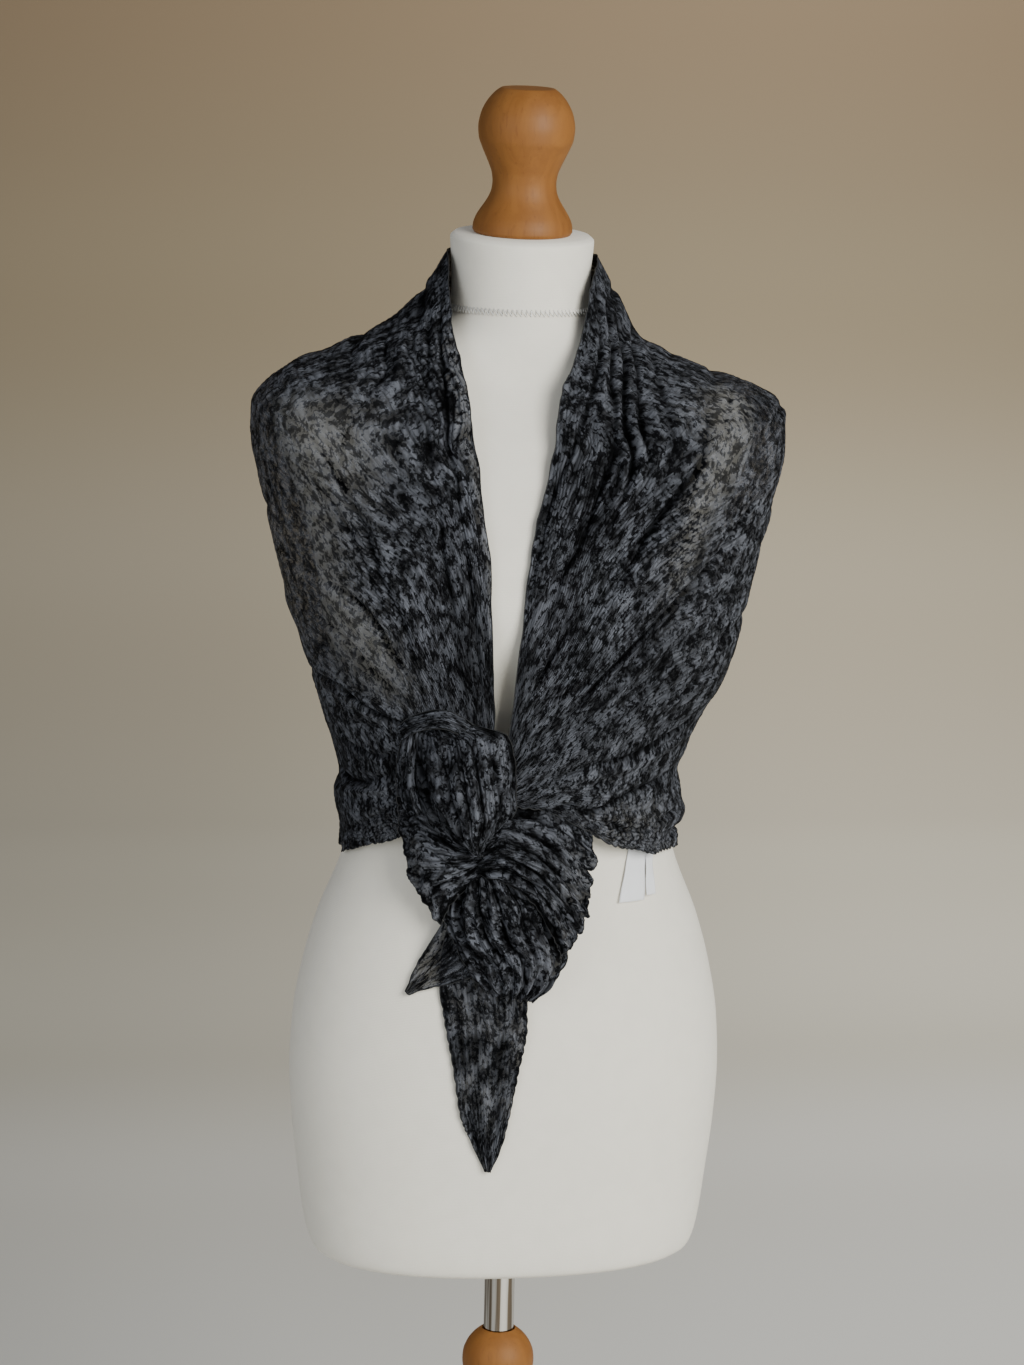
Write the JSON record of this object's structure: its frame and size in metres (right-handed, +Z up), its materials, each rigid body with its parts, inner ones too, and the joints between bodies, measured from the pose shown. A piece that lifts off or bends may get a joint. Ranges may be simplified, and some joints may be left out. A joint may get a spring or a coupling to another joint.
{
  "type": "pleated shawl on dress form",
  "caption": "Sheer crinkle-pleated shawl worn round the shoulders of a limbless dress form and knotted low in front, on a turned wooden tripod stand.",
  "frame": {"origin": "centre of the whole part's box, on the floor that the stand's feet rest on", "axes": "+Z up, the front of the form and the knot look along -Y, +X is to the viewer's right when looking at the front"},
  "size_m": [0.5128, 0.445, 1.4726],
  "materials": {
    "pleated_chiffon": "sheer crinkle-pleated chiffon, mottled near-black on slate grey",
    "satin_tape": "satin ribbon, bare",
    "form_jersey": "smooth off-white jersey",
    "beech": "turned beech, soft gloss varnish",
    "steel": "brushed steel tube"
  },
  "bodies": {
    "root": {"shawl_front_left": "pleated_chiffon", "shawl_front_right": "pleated_chiffon", "shawl_back": "pleated_chiffon", "knot_band": "pleated_chiffon", "knot_strand": "pleated_chiffon", "knot_lobe": "pleated_chiffon", "knot_core": "pleated_chiffon", "fan_side": "pleated_chiffon", "fan_lower": "pleated_chiffon", "tail_corner": "pleated_chiffon", "tail_long": "pleated_chiffon", "label_care": "satin_tape", "label_small": "satin_tape", "form_torso": "form_jersey", "form_knob": "beech", "form_pole": "steel", "stand_column": "beech", "stand_leg_front": "beech", "stand_leg_left": "beech", "stand_leg_right": "beech"}
  },
  "joints": []
}
